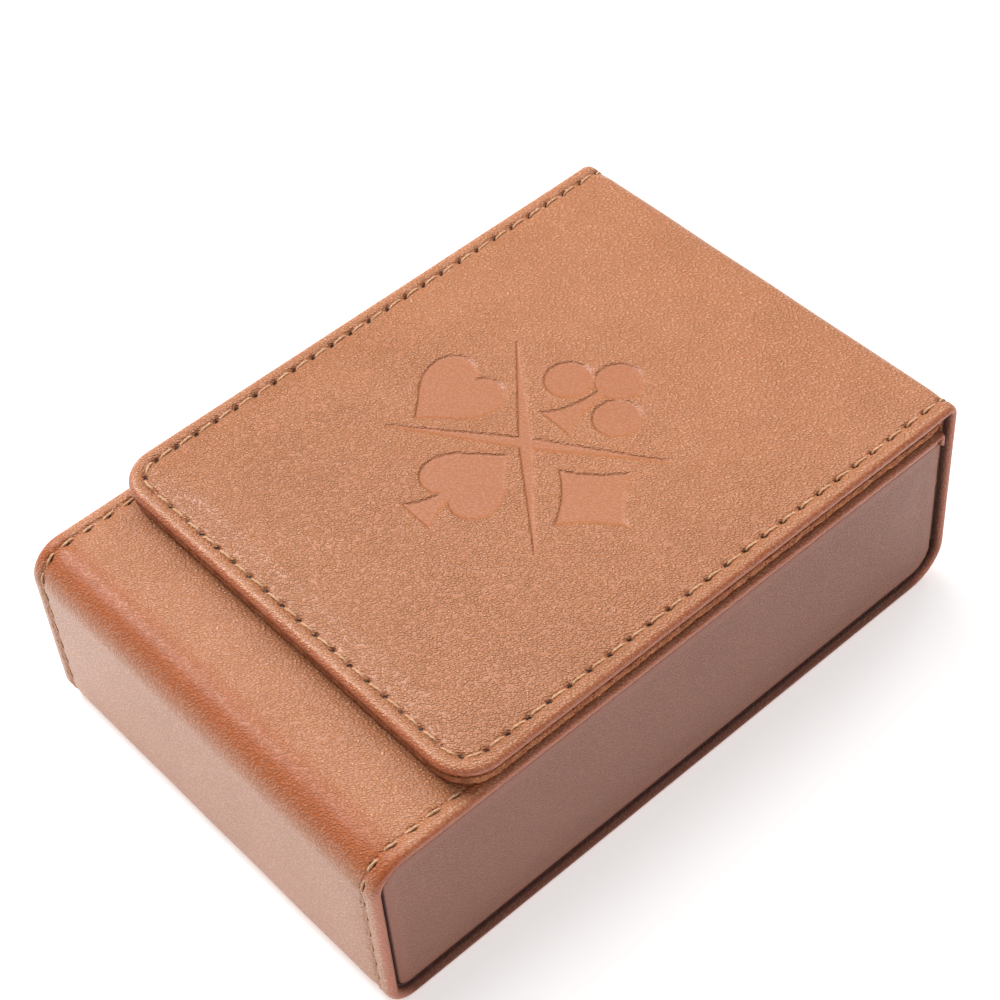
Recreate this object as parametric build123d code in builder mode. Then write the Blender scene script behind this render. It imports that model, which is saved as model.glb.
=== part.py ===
from build123d import *

import os
from math import pi

os.makedirs("parts", exist_ok=True)

# Leather case for a deck of playing cards, lying flat. One strip of leather makes the top panel, the
# closed front end, the bottom, the spine behind the mouth, and the flap that folds over the top.
# Boards stiffen each panel, and two leather-covered side panels close the long sides.
# +X is across the case, +Y runs from the closed front end to the spine, +Z is up.
# The origin is the middle of the bottom face. All sizes are in millimetres.

# ---------------------------------------------------------------- driving dimensions
WIDTH = 72.0
LENGTH = 104.5
BODY_HEIGHT = 30.0
CLOSED_HEIGHT = 34.2
FLAP_FRONT_Y = -37.1

LEATHER = 0.8
EDGE_DEPTH = 1.4
EDGE_WIDTH = 1.4
BOARD = 1.2
LINING = 0.4
SPINE_BOARD = 0.7
FLAP_BOARD = 1.5
FLAP_LINING = 0.9
FLAP_EDGE_DEPTH = 1.5

TOP_BEND = 5.2
FOOT_BEND = 3.8
LOWER_FOLD = 6.0
UPPER_FOLD = 2.0
FLAP_CORNER = 6.0
LOWER_SLIT_ANGLE = 1.5
UPPER_SLIT_ANGLE = 5.0

SIDE_INSET = 2.2
SIDE_RECESS = 0.7
LINING_CLEARANCE = 0.1
FLAP_LINING_INSET = 0.3
LAYER_END_Z = 30.7

STITCH_INSET = 2.35
STITCH_PITCH = 3.42
STITCH_GAP = 0.8
THREAD = 0.25
THREAD_WIDTH = 0.5
THREAD_DEPTH = 0.05
GROOVE_WIDTH = 0.6
GROOVE_DEPTH = 0.35

MAGNET_RADIUS = 5.0
MAGNET_CLEARANCE = 0.05
MAGNET_X = 20.0
MAGNET_Y = -27.0

MOTIF_Y = 6.0
MOTIF_DEPTH = 0.3
CROSS_HALF_X = 15.2
CROSS_HALF_Y = 11.2
CROSS_WIDTH = 2.0
SUIT_X = 13.9
SUIT_Y = 12.6

# ---------------------------------------------------------------- dimensions that follow
HALF_WIDTH = WIDTH / 2
FRONT_Y = -LENGTH / 2
REAR_Y = LENGTH / 2
MOUTH_Y = REAR_Y - SIDE_INSET
PANEL_DEPTH = LEATHER + BOARD
INNER_HALF_X = HALF_WIDTH - EDGE_WIDTH
STITCH_X = HALF_WIDTH - STITCH_INSET
SIDE_OUTER_X = HALF_WIDTH - SIDE_RECESS
SIDE_BOARD_X = SIDE_OUTER_X - LEATHER
SIDE_LINING_X = SIDE_BOARD_X - BOARD
WELL_HALF_X = SIDE_LINING_X - LINING
FLAP_BOARD_Z = CLOSED_HEIGHT - LEATHER - FLAP_BOARD
FLAP_LINING_Z = FLAP_BOARD_Z - FLAP_LINING
FLAP_REAR_Y = REAR_Y - UPPER_FOLD

LOWER_FOLD_CENTRE = (REAR_Y - LOWER_FOLD, LOWER_FOLD)
UPPER_FOLD_CENTRE = (REAR_Y - UPPER_FOLD, CLOSED_HEIGHT - UPPER_FOLD)

# A fold that unrolls without stretching turns about a line this share of its radius inside the corner.
FOLD_AXIS_SHARE = 1 - pi / 4
LOWER_AXIS = (REAR_Y - FOLD_AXIS_SHARE * LOWER_FOLD, FOLD_AXIS_SHARE * LOWER_FOLD)
UPPER_AXIS = (REAR_Y - FOLD_AXIS_SHARE * UPPER_FOLD, CLOSED_HEIGHT - FOLD_AXIS_SHARE * UPPER_FOLD)


# ---------------------------------------------------------------- outlines of the bent leather
def body_line(depth):
    """Side view of the body's strip, mouth to lower fold, at a depth below its outer face."""
    top_z = BODY_HEIGHT - depth
    top_bend = CenterArc((FRONT_Y + TOP_BEND, BODY_HEIGHT - TOP_BEND), TOP_BEND - depth, 90, 90)
    foot_bend = CenterArc((FRONT_Y + FOOT_BEND, FOOT_BEND), FOOT_BEND - depth, 180, 90)
    fold = CenterArc(LOWER_FOLD_CENTRE, LOWER_FOLD - depth, 270, 45 - LOWER_SLIT_ANGLE)
    top = Line((MOUTH_Y, top_z), top_bend @ 0)
    Line(top_bend @ 1, foot_bend @ 0)
    Line(foot_bend @ 1, fold @ 0)
    return top @ 0, fold @ 1


def spine_line(depth):
    """Side view of the spine's strip, lower fold to upper fold."""
    lower_start = LOWER_SLIT_ANGLE - 45
    lower = CenterArc(LOWER_FOLD_CENTRE, LOWER_FOLD - depth, lower_start, -lower_start)
    upper = CenterArc(UPPER_FOLD_CENTRE, UPPER_FOLD - depth, 0, 45 - UPPER_SLIT_ANGLE)
    Line(lower @ 1, upper @ 0)
    return lower @ 0, upper @ 1


def flap_line(depth, front_y=FLAP_FRONT_Y):
    """Side view of the flap's strip, upper fold to front edge."""
    start = 45 + UPPER_SLIT_ANGLE
    fold = CenterArc(UPPER_FOLD_CENTRE, UPPER_FOLD - depth, start, 90 - start)
    top = Line(fold @ 1, (front_y, CLOSED_HEIGHT - depth))
    return fold @ 0, top @ 1


def flap_side_line(depth):
    """Side view of the flap's strip, upper fold to the start of its front corners."""
    return flap_line(depth, FLAP_FRONT_Y + FLAP_CORNER)


def strip_section(line, outer_depth, inner_depth):
    """Closed section between two depths of one strip."""
    outer_start, outer_end = line(outer_depth)
    inner_start, inner_end = line(inner_depth)
    Line(outer_start, inner_start)
    Line(outer_end, inner_end)


def flap_outline(inset, rear_y):
    """Plan of the flap, inset from its edges, with two round front corners."""
    half_x = HALF_WIDTH - inset
    radius = FLAP_CORNER - inset
    left = CenterArc((inset - HALF_WIDTH + radius, FLAP_FRONT_Y + FLAP_CORNER), radius, 180, 90)
    right = CenterArc((HALF_WIDTH - FLAP_CORNER, FLAP_FRONT_Y + FLAP_CORNER), radius, 270, 90)
    Line(left @ 1, right @ 0)
    Polyline(right @ 1, (half_x, rear_y), (-half_x, rear_y), left @ 0)


def side_outline(inset):
    """Side view of a side panel, inset from its own edge, with a corner to suit each bend."""
    reach = SIDE_INSET + inset
    foot = CenterArc((FRONT_Y + FOOT_BEND, FOOT_BEND), FOOT_BEND - reach, 180, 90)
    fold = CenterArc(LOWER_FOLD_CENTRE, LOWER_FOLD - reach, 270, 90)
    top = CenterArc((FRONT_Y + TOP_BEND, BODY_HEIGHT - TOP_BEND), TOP_BEND - reach, 90, 90)
    Line(foot @ 1, fold @ 0)
    Polyline(fold @ 1, (REAR_Y - reach, BODY_HEIGHT - reach), top @ 0)
    Line(top @ 1, foot @ 0)


# ---------------------------------------------------------------- stitching
with BuildLine(Plane.YZ) as body_seam:
    body_line(THREAD_DEPTH)
with BuildLine(Plane.YZ) as spine_seam:
    spine_line(THREAD_DEPTH)
with BuildLine(Plane.YZ) as flap_side_seam:
    flap_side_line(THREAD_DEPTH)
with BuildLine(Plane.XY.offset(CLOSED_HEIGHT)) as flap_front_seam:
    seam_radius = FLAP_CORNER - STITCH_INSET
    seam_arc_y = FLAP_FRONT_Y + FLAP_CORNER
    left_corner = CenterArc((seam_radius - STITCH_X, seam_arc_y), seam_radius, 180, 90)
    right_corner = CenterArc((STITCH_X - seam_radius, seam_arc_y), seam_radius, 270, 90)
    Line(left_corner @ 1, right_corner @ 0)


def hole_planes(seam, across, seam_x=0):
    """One plane at each needle hole of a seam, x along the thread."""
    wire = seam.wire()
    count = round(wire.length / STITCH_PITCH)
    planes = []
    for index in range(count + 1):
        along = wire.tangent_at(index / count)
        hole = wire.position_at(index / count) + Vector(seam_x, 0, 0)
        planes.append(Plane(hole, x_dir=along, z_dir=along.cross(across)))
    return planes


# ---------------------------------------------------------------- debossed suits, each about its own centre
with BuildSketch() as heart:
    with BuildLine():
        lobe = ThreePointArc((0, 4.1), (4.5, 5.8), (6.4, 2.2))
        Bezier(lobe @ 1, (6.2, -1.6), (2.0, -4.6), (0, -6.5))
        mirror(about=Plane.YZ)
    make_face()

with BuildSketch() as diamond:
    with BuildLine():
        ThreePointArc((6.8, 0), (2.8, 2.8), (0, 6.6))
        ThreePointArc((0, -6.6), (2.8, -2.8), (6.8, 0))
        mirror(about=Plane.YZ)
    make_face()

with BuildSketch() as stem:
    with BuildLine():
        flare = Bezier((0.7, 4.0), (0.6, -1.5), (1.8, -4.6), (3.2, -5.4))
        Line(flare @ 1, (0, -5.4))
        Line(flare @ 0, (0, 4.0))
        mirror(about=Plane.YZ)
    make_face()

with BuildSketch() as cross:
    for cross_y in (-CROSS_HALF_Y, CROSS_HALF_Y):
        arm = Vector(CROSS_HALF_X, cross_y)
        middle = Vector(-cross_y, CROSS_HALF_X).normalized() * CROSS_WIDTH / 2
        with BuildLine():
            Polyline(arm, middle, arm * -1, middle * -1, close=True)
        make_face()

with BuildSketch() as suits:
    add(cross.sketch)
    with Locations((-SUIT_X, -0.8)):
        add(heart.sketch)
    with Locations((SUIT_X - 0.4, 0)):
        add(diamond.sketch)
    with Locations((0, SUIT_Y - 2.2), (0, -SUIT_Y - 1)):
        add(stem.sketch)
    with Locations(Location((0, 2.8 - SUIT_Y), 180)):
        add(heart.sketch)
    with Locations((-4.9, SUIT_Y - 0.7), (0, SUIT_Y + 4.2), (4.9, SUIT_Y - 0.7)):
        Circle(3.4)

# ---------------------------------------------------------------- body: leather wrap
with BuildPart() as body_cover:
    with BuildSketch(Plane.YZ.offset(-HALF_WIDTH)):
        with BuildLine():
            strip_section(body_line, 0, LEATHER)
        make_face()
    extrude(amount=WIDTH)
    for edge_x in (-HALF_WIDTH, INNER_HALF_X):
        with BuildSketch(Plane.YZ.offset(edge_x)):
            with BuildLine():
                strip_section(body_line, 0, EDGE_DEPTH)
            make_face()
        extrude(amount=EDGE_WIDTH)
    with BuildSketch(Plane.XY.offset(BODY_HEIGHT - EDGE_DEPTH)):
        with Locations((0, MOUTH_Y - EDGE_WIDTH / 2)):
            Rectangle(WIDTH, EDGE_WIDTH)
    extrude(amount=EDGE_DEPTH)
    for groove_x in (-STITCH_X, STITCH_X):
        with BuildSketch(Plane.YZ.offset(groove_x)):
            with BuildLine():
                strip_section(body_line, 0, GROOVE_DEPTH)
            make_face()
        extrude(amount=GROOVE_WIDTH / 2, both=True, mode=Mode.SUBTRACT)
body_cover.part.label = "body_cover"
export_step(body_cover.part, "parts/body_cover.step")

# ---------------------------------------------------------------- body: boards and steel plates
with BuildPart() as top_board:
    board_front = FRONT_Y + TOP_BEND
    board_rear = MOUTH_Y - EDGE_WIDTH
    with BuildSketch(Plane.XY.offset(BODY_HEIGHT - PANEL_DEPTH)):
        with Locations((0, (board_front + board_rear) / 2)):
            Rectangle(2 * INNER_HALF_X, board_rear - board_front)
        with Locations((-MAGNET_X, MAGNET_Y), (MAGNET_X, MAGNET_Y)):
            Circle(MAGNET_RADIUS + MAGNET_CLEARANCE, mode=Mode.SUBTRACT)
    extrude(amount=BOARD)
top_board.part.label = "top_board"
export_step(top_board.part, "parts/top_board.step")

with BuildPart() as catch_plates:
    with BuildSketch(Plane.XY.offset(BODY_HEIGHT - PANEL_DEPTH)):
        with Locations((-MAGNET_X, MAGNET_Y), (MAGNET_X, MAGNET_Y)):
            Circle(MAGNET_RADIUS)
    extrude(amount=BOARD)
catch_plates.part.label = "catch_plates"
export_step(catch_plates.part, "parts/catch_plates.step")

with BuildPart() as front_end_board:
    with BuildSketch(Plane.XZ.offset(-FRONT_Y - PANEL_DEPTH)):
        with Locations((0, (FOOT_BEND + BODY_HEIGHT - TOP_BEND) / 2)):
            Rectangle(2 * INNER_HALF_X, BODY_HEIGHT - TOP_BEND - FOOT_BEND)
    extrude(amount=BOARD)
front_end_board.part.label = "front_end_board"
export_step(front_end_board.part, "parts/front_end_board.step")

with BuildPart() as bottom_board:
    board_front = FRONT_Y + FOOT_BEND
    board_rear = REAR_Y - LOWER_FOLD
    with BuildSketch(Plane.XY.offset(LEATHER)):
        with Locations((0, (board_front + board_rear) / 2)):
            Rectangle(2 * INNER_HALF_X, board_rear - board_front)
    extrude(amount=BOARD)
bottom_board.part.label = "bottom_board"
export_step(bottom_board.part, "parts/bottom_board.step")

# ---------------------------------------------------------------- body: lining of the card well
with BuildPart() as well_lining:
    with BuildSketch(Plane.YZ.offset(LINING_CLEARANCE - WELL_HALF_X)):
        with BuildLine():
            strip_section(body_line, PANEL_DEPTH, PANEL_DEPTH + LINING)
        make_face()
    extrude(amount=2 * (WELL_HALF_X - LINING_CLEARANCE))
well_lining.part.label = "well_lining"
export_step(well_lining.part, "parts/well_lining.step")

# ---------------------------------------------------------------- body: side panels
for side_name, side_sign in (("left", -1), ("right", 1)):
    inward = -side_sign

    with BuildPart() as side_cover:
        with BuildSketch(Plane.YZ.offset(side_sign * SIDE_OUTER_X)):
            with BuildLine():
                side_outline(0)
            make_face()
        extrude(amount=inward * (LEATHER + BOARD))
        with BuildSketch(Plane.YZ.offset(side_sign * SIDE_LINING_X)):
            with BuildLine():
                side_outline(LEATHER)
            make_face()
        extrude(amount=-inward * BOARD, mode=Mode.SUBTRACT)
    side_cover.part.label = f"{side_name}_side_cover"
    export_step(side_cover.part, f"parts/{side_name}_side_cover.step")

    with BuildPart() as side_board:
        with BuildSketch(Plane.YZ.offset(side_sign * SIDE_BOARD_X)):
            with BuildLine():
                side_outline(LEATHER)
            make_face()
        extrude(amount=inward * BOARD)
    side_board.part.label = f"{side_name}_side_board"
    export_step(side_board.part, f"parts/{side_name}_side_board.step")

    with BuildPart() as side_lining:
        with BuildSketch(Plane.YZ.offset(side_sign * SIDE_LINING_X)):
            with BuildLine():
                side_outline(LINING)
            make_face()
        extrude(amount=inward * LINING)
    side_lining.part.label = f"{side_name}_side_lining"
    export_step(side_lining.part, f"parts/{side_name}_side_lining.step")

    with BuildPart() as body_stitching:
        with BuildSketch(Plane.YZ.offset(side_sign * STITCH_X)):
            with BuildLine():
                strip_section(body_line, THREAD_DEPTH, THREAD_DEPTH + THREAD)
            make_face()
        extrude(amount=THREAD_WIDTH / 2, both=True)
        with Locations(*hole_planes(body_seam, Vector(1, 0, 0), side_sign * STITCH_X)):
            Box(STITCH_GAP, 1, 1, mode=Mode.SUBTRACT)
    body_stitching.part.label = f"{side_name}_body_stitching"
    export_step(body_stitching.part, f"parts/{side_name}_body_stitching.step")

# ---------------------------------------------------------------- spine
with BuildPart() as spine_cover:
    with BuildSketch(Plane.YZ.offset(-HALF_WIDTH)):
        with BuildLine():
            strip_section(spine_line, 0, LEATHER)
        make_face()
    extrude(amount=WIDTH)
    for edge_x in (-HALF_WIDTH, INNER_HALF_X):
        with BuildSketch(Plane.YZ.offset(edge_x)):
            with BuildLine():
                strip_section(spine_line, 0, EDGE_DEPTH)
            make_face()
        extrude(amount=EDGE_WIDTH)
    for groove_x in (-STITCH_X, STITCH_X):
        with BuildSketch(Plane.YZ.offset(groove_x)):
            with BuildLine():
                strip_section(spine_line, 0, GROOVE_DEPTH)
            make_face()
        extrude(amount=GROOVE_WIDTH / 2, both=True, mode=Mode.SUBTRACT)
spine_cover.part.label = "spine_cover"
export_step(spine_cover.part, "parts/spine_cover.step")

with BuildPart() as spine_board:
    with BuildSketch(Plane.XZ.offset(LEATHER - REAR_Y)):
        with Locations((0, (LOWER_FOLD + LAYER_END_Z) / 2)):
            Rectangle(2 * INNER_HALF_X, LAYER_END_Z - LOWER_FOLD)
    extrude(amount=SPINE_BOARD)
spine_board.part.label = "spine_board"
export_step(spine_board.part, "parts/spine_board.step")

with BuildPart() as spine_lining:
    with BuildSketch(Plane.XZ.offset(LEATHER + SPINE_BOARD - REAR_Y)):
        with Locations((0, (LOWER_FOLD + LAYER_END_Z) / 2)):
            Rectangle(2 * SIDE_OUTER_X, LAYER_END_Z - LOWER_FOLD)
    extrude(amount=LINING)
spine_lining.part.label = "spine_lining"
export_step(spine_lining.part, "parts/spine_lining.step")

with BuildPart() as spine_stitching:
    for seam_x in (-STITCH_X, STITCH_X):
        with BuildSketch(Plane.YZ.offset(seam_x)):
            with BuildLine():
                strip_section(spine_line, THREAD_DEPTH, THREAD_DEPTH + THREAD)
            make_face()
        extrude(amount=THREAD_WIDTH / 2, both=True)
        with Locations(*hole_planes(spine_seam, Vector(1, 0, 0), seam_x)):
            Box(STITCH_GAP, 1, 1, mode=Mode.SUBTRACT)
spine_stitching.part.label = "spine_stitching"
export_step(spine_stitching.part, "parts/spine_stitching.step")

# ---------------------------------------------------------------- flap
with BuildPart() as flap_cover:
    with BuildSketch(Plane.YZ.offset(-HALF_WIDTH)):
        with BuildLine():
            strip_section(flap_line, 0, FLAP_EDGE_DEPTH)
        make_face()
    extrude(amount=WIDTH)
    with BuildSketch(Plane.XY.offset(CLOSED_HEIGHT)):
        with BuildLine():
            flap_outline(0, REAR_Y)
        make_face()
    extrude(amount=-UPPER_FOLD, mode=Mode.INTERSECT)
    with BuildSketch(Plane.XY.offset(CLOSED_HEIGHT - LEATHER)):
        with BuildLine():
            flap_outline(EDGE_WIDTH, FLAP_REAR_Y)
        make_face()
    extrude(amount=-FLAP_BOARD, mode=Mode.SUBTRACT)
    with BuildSketch(Plane.YZ.offset(-INNER_HALF_X)):
        with BuildLine():
            strip_section(flap_side_line, LEATHER, FLAP_EDGE_DEPTH)
        make_face()
    extrude(amount=2 * INNER_HALF_X, mode=Mode.SUBTRACT)
    for groove_x in (-STITCH_X, STITCH_X):
        with BuildSketch(Plane.YZ.offset(groove_x)):
            with BuildLine():
                strip_section(flap_side_line, 0, GROOVE_DEPTH)
            make_face()
        extrude(amount=GROOVE_WIDTH / 2, both=True, mode=Mode.SUBTRACT)
    with BuildSketch(Plane.XY.offset(CLOSED_HEIGHT)):
        with BuildLine():
            flap_outline(STITCH_INSET - GROOVE_WIDTH / 2, FLAP_FRONT_Y + 2 * FLAP_CORNER)
        make_face()
        with BuildLine():
            flap_outline(STITCH_INSET + GROOVE_WIDTH / 2, FLAP_FRONT_Y + 3 * FLAP_CORNER)
        make_face(mode=Mode.SUBTRACT)
    extrude(amount=-GROOVE_DEPTH, mode=Mode.SUBTRACT)
    with BuildSketch(Plane((0, MOTIF_Y, CLOSED_HEIGHT))):
        add(suits.sketch)
    extrude(amount=-MOTIF_DEPTH, mode=Mode.SUBTRACT)
flap_cover.part.label = "flap_cover"
export_step(flap_cover.part, "parts/flap_cover.step")

with BuildPart() as flap_board:
    with BuildSketch(Plane.XY.offset(FLAP_BOARD_Z)):
        with BuildLine():
            flap_outline(EDGE_WIDTH, FLAP_REAR_Y)
        make_face()
        with Locations((-MAGNET_X, MAGNET_Y), (MAGNET_X, MAGNET_Y)):
            Circle(MAGNET_RADIUS + MAGNET_CLEARANCE, mode=Mode.SUBTRACT)
    extrude(amount=FLAP_BOARD)
flap_board.part.label = "flap_board"
export_step(flap_board.part, "parts/flap_board.step")

with BuildPart() as flap_magnets:
    with BuildSketch(Plane.XY.offset(FLAP_BOARD_Z)):
        with Locations((-MAGNET_X, MAGNET_Y), (MAGNET_X, MAGNET_Y)):
            Circle(MAGNET_RADIUS)
    extrude(amount=FLAP_BOARD)
flap_magnets.part.label = "flap_magnets"
export_step(flap_magnets.part, "parts/flap_magnets.step")

with BuildPart() as flap_lining:
    with BuildSketch(Plane.XY.offset(FLAP_LINING_Z)):
        with BuildLine():
            flap_outline(FLAP_LINING_INSET, FLAP_REAR_Y)
        make_face()
    extrude(amount=FLAP_LINING)
flap_lining.part.label = "flap_lining"
export_step(flap_lining.part, "parts/flap_lining.step")

with BuildPart() as flap_stitching:
    for seam_x in (-STITCH_X, STITCH_X):
        with BuildSketch(Plane.YZ.offset(seam_x)):
            with BuildLine():
                strip_section(flap_side_line, THREAD_DEPTH, THREAD_DEPTH + THREAD)
            make_face()
        extrude(amount=THREAD_WIDTH / 2, both=True)
    with BuildSketch(Plane.XY.offset(CLOSED_HEIGHT - THREAD_DEPTH)):
        with BuildLine():
            flap_outline(STITCH_INSET - THREAD_WIDTH / 2, FLAP_FRONT_Y + 2 * FLAP_CORNER)
        make_face()
        with BuildLine():
            flap_outline(STITCH_INSET + THREAD_WIDTH / 2, FLAP_FRONT_Y + 3 * FLAP_CORNER)
        make_face(mode=Mode.SUBTRACT)
    extrude(amount=-THREAD)
    for seam_x in (-STITCH_X, STITCH_X):
        with Locations(*hole_planes(flap_side_seam, Vector(1, 0, 0), seam_x)):
            Box(STITCH_GAP, 1, 1, mode=Mode.SUBTRACT)
    with Locations(*hole_planes(flap_front_seam, Vector(0, 0, 1))):
        Box(STITCH_GAP, 1, 1, mode=Mode.SUBTRACT)
flap_stitching.part.label = "flap_stitching"
export_step(flap_stitching.part, "parts/flap_stitching.step")

print("hinge lines (y, z):", LOWER_AXIS, UPPER_AXIS)
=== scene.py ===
"""A leather playing-card case: the leather, stitching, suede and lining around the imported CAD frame."""

import math

import bmesh
import bpy
import numpy as np
from mathutils import Matrix, Vector


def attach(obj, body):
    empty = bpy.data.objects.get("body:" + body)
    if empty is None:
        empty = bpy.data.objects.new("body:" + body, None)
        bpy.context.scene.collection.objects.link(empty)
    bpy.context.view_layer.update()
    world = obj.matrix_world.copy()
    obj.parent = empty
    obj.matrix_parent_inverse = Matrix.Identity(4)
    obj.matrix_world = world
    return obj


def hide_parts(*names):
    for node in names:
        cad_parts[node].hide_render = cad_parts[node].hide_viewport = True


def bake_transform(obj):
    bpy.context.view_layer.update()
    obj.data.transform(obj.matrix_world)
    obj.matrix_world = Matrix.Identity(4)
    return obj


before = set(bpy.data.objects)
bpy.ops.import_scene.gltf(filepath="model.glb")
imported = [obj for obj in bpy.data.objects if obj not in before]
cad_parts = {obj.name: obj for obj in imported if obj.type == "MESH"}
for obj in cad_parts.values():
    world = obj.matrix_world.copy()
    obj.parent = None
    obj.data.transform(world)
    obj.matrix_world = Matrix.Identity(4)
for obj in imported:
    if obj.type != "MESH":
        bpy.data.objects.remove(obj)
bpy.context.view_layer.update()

MM = 0.001

# ---------------------------------------------------------------- sizes of the CAD frame, in millimetres
HALF_WIDTH = 36.0
REAR_Y = 52.25
BODY_HEIGHT = 30.0
CLOSED_HEIGHT = 34.2
MOUTH_Y = 50.05
TOP_BEND = 5.2
FOOT_BEND = 3.8
LOWER_FOLD = 6.0
UPPER_FOLD = 2.0
FLAP_FRONT_Y = -37.1
FLAP_CORNER = 6.0
LEATHER = 0.85
SPINE_SPLIT_Z = 17.0
BOTTOM_SPLIT_Y = 38.0
LINING_SPLIT_Y = 43.5
STITCH_INSET = 2.35
PITCH = 3.42
MOTIF_Y = 6.0
PANEL_X = 35.3
MOUTH_HEM = 1.4
MOUTH_BEND = 0.9


# ---------------------------------------------------------------- side-view paths
class Path:
    """A side-view line of straight runs and left-hand arcs. The case's inside is on its left."""

    def __init__(self, start, heading, moves):
        self.pieces = []
        self.length = 0.0
        point = np.array(start, float)
        angle = math.radians(heading)
        for kind, size in moves:
            ahead = np.array([math.cos(angle), math.sin(angle)])
            left = np.array([-ahead[1], ahead[0]])
            if kind == "run":
                self.pieces.append(("run", self.length, size, point.copy(), angle))
                point = point + ahead * size
                self.length += size
            else:
                centre = point + left * size
                arc = size * math.pi / 2
                self.pieces.append(("turn", self.length, arc, centre, angle))
                angle += math.pi / 2
                point = centre + size * np.array([math.sin(angle), -math.cos(angle)])
                self.length += arc
        self.sizes = [size for _, size in moves]

    def at(self, s, depth):
        """Points (y, z) at distances s along the path and depths to its left."""
        s, depth = np.broadcast_arrays(np.asarray(s, float), np.asarray(depth, float))
        out = np.zeros(s.shape + (2,))
        last = len(self.pieces) - 1
        for i, (kind, start, length, anchor, angle) in enumerate(self.pieces):
            low = -np.inf if i == 0 else start
            high = np.inf if i == last else start + length
            inside = (s >= low) & (s < high)
            local = s[inside] - start
            if kind == "run":
                ahead = np.array([math.cos(angle), math.sin(angle)])
                left = np.array([-ahead[1], ahead[0]])
                out[inside] = anchor + local[:, None] * ahead + depth[inside][:, None] * left
            else:
                turned = angle + local / self.sizes[i]
                radial = np.stack([np.sin(turned), -np.cos(turned)], -1)
                out[inside] = anchor + (self.sizes[i] - depth[inside])[:, None] * radial
        return out


STRIP_MOVES = [
    ("run", MOUTH_HEM),
    ("turn", MOUTH_BEND),
    ("run", MOUTH_Y - MOUTH_BEND + REAR_Y - TOP_BEND),
    ("turn", TOP_BEND),
    ("run", BODY_HEIGHT - TOP_BEND - FOOT_BEND),
    ("turn", FOOT_BEND),
    ("run", 2 * REAR_Y - FOOT_BEND - LOWER_FOLD),
    ("turn", LOWER_FOLD),
    ("run", CLOSED_HEIGHT - LOWER_FOLD - UPPER_FOLD),
    ("turn", UPPER_FOLD),
    ("run", REAR_Y - UPPER_FOLD - FLAP_FRONT_Y),
]
strip = Path((MOUTH_Y, BODY_HEIGHT - MOUTH_BEND - MOUTH_HEM), 90, STRIP_MOVES)
starts = [piece[1] for piece in strip.pieces]

# Distances along the strip, from the mouth's hem to the flap's front.
S_TOP = starts[2]
S_FRONT_BEND = starts[3]
S_BOTTOM = starts[6]
S_LOWER = starts[7]
S_SPINE = starts[8]
S_UPPER = starts[9]
S_FLAP = starts[10]
S_BOTTOM_SPLIT = S_BOTTOM + BOTTOM_SPLIT_Y - (FOOT_BEND - REAR_Y)
S_COVERED = S_TOP + MOUTH_Y - MOUTH_BEND - FLAP_FRONT_Y
S_LINING_SPLIT = S_BOTTOM + LINING_SPLIT_Y - (FOOT_BEND - REAR_Y)
S_SPINE_SPLIT = S_SPINE + SPINE_SPLIT_Z - LOWER_FOLD
S_CORNER = strip.length - FLAP_CORNER
SIDE_STITCHES = round((S_CORNER - S_TOP) / PITCH)
SIDE_PITCH = (S_CORNER - S_TOP) / SIDE_STITCHES
CORNER_SEAM = (FLAP_CORNER - STITCH_INSET) * math.pi / 2
FRONT_RUN = 2 * (HALF_WIDTH - FLAP_CORNER)
FRONT_SEAM = 2 * CORNER_SEAM + FRONT_RUN
FRONT_STITCHES = round(FRONT_SEAM / PITCH)
FRONT_PITCH = FRONT_SEAM / FRONT_STITCHES


# ---------------------------------------------------------------- small helpers
def smooth(low, high, value):
    """0 below low, 1 above high, smooth between. low may be the greater."""
    t = np.clip((value - low) / (high - low), 0, 1)
    return t * t * (3 - 2 * t)


def sway(a, b, size, seed):
    """A slow, repeatable unevenness between -1 and 1, about size long."""
    rng = np.random.default_rng(seed)
    total = 0
    for _ in range(5):
        turn = rng.uniform(0, 2 * math.pi)
        rate = 2 * math.pi / (size * rng.uniform(0.7, 1.6))
        total = total + np.sin(rate * (a * math.cos(turn) + b * math.sin(turn)) + rng.uniform(0, 6.3))
    return total / 5


def spaced(stops):
    """Values from stop to stop; stops are (value, step up to the next value)."""
    out = []
    for (low, step), (high, _) in zip(stops, stops[1:]):
        count = max(1, round((high - low) / step))
        out += list(np.linspace(low, high, count, endpoint=False))
    return np.array(out + [stops[-1][0]])


def new_object(name, points, faces, attributes=(), sharp=50):
    """A mesh object from points in millimetres."""
    mesh = bpy.data.meshes.new(name)
    mesh.from_pydata((np.asarray(points, float) * MM).tolist(), [], faces)
    for label, kind, values in attributes:
        attribute = mesh.attributes.new(label, kind, "POINT")
        field = "vector" if kind == "FLOAT_VECTOR" else "value"
        attribute.data.foreach_set(field, np.asarray(values, np.float32).ravel())
    mesh.polygons.foreach_set("use_smooth", [True] * len(mesh.polygons))
    mesh.set_sharp_from_angle(angle=math.radians(sharp))
    mesh.update()
    obj = bpy.data.objects.new(name, mesh)
    bpy.context.scene.collection.objects.link(obj)
    return obj


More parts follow.
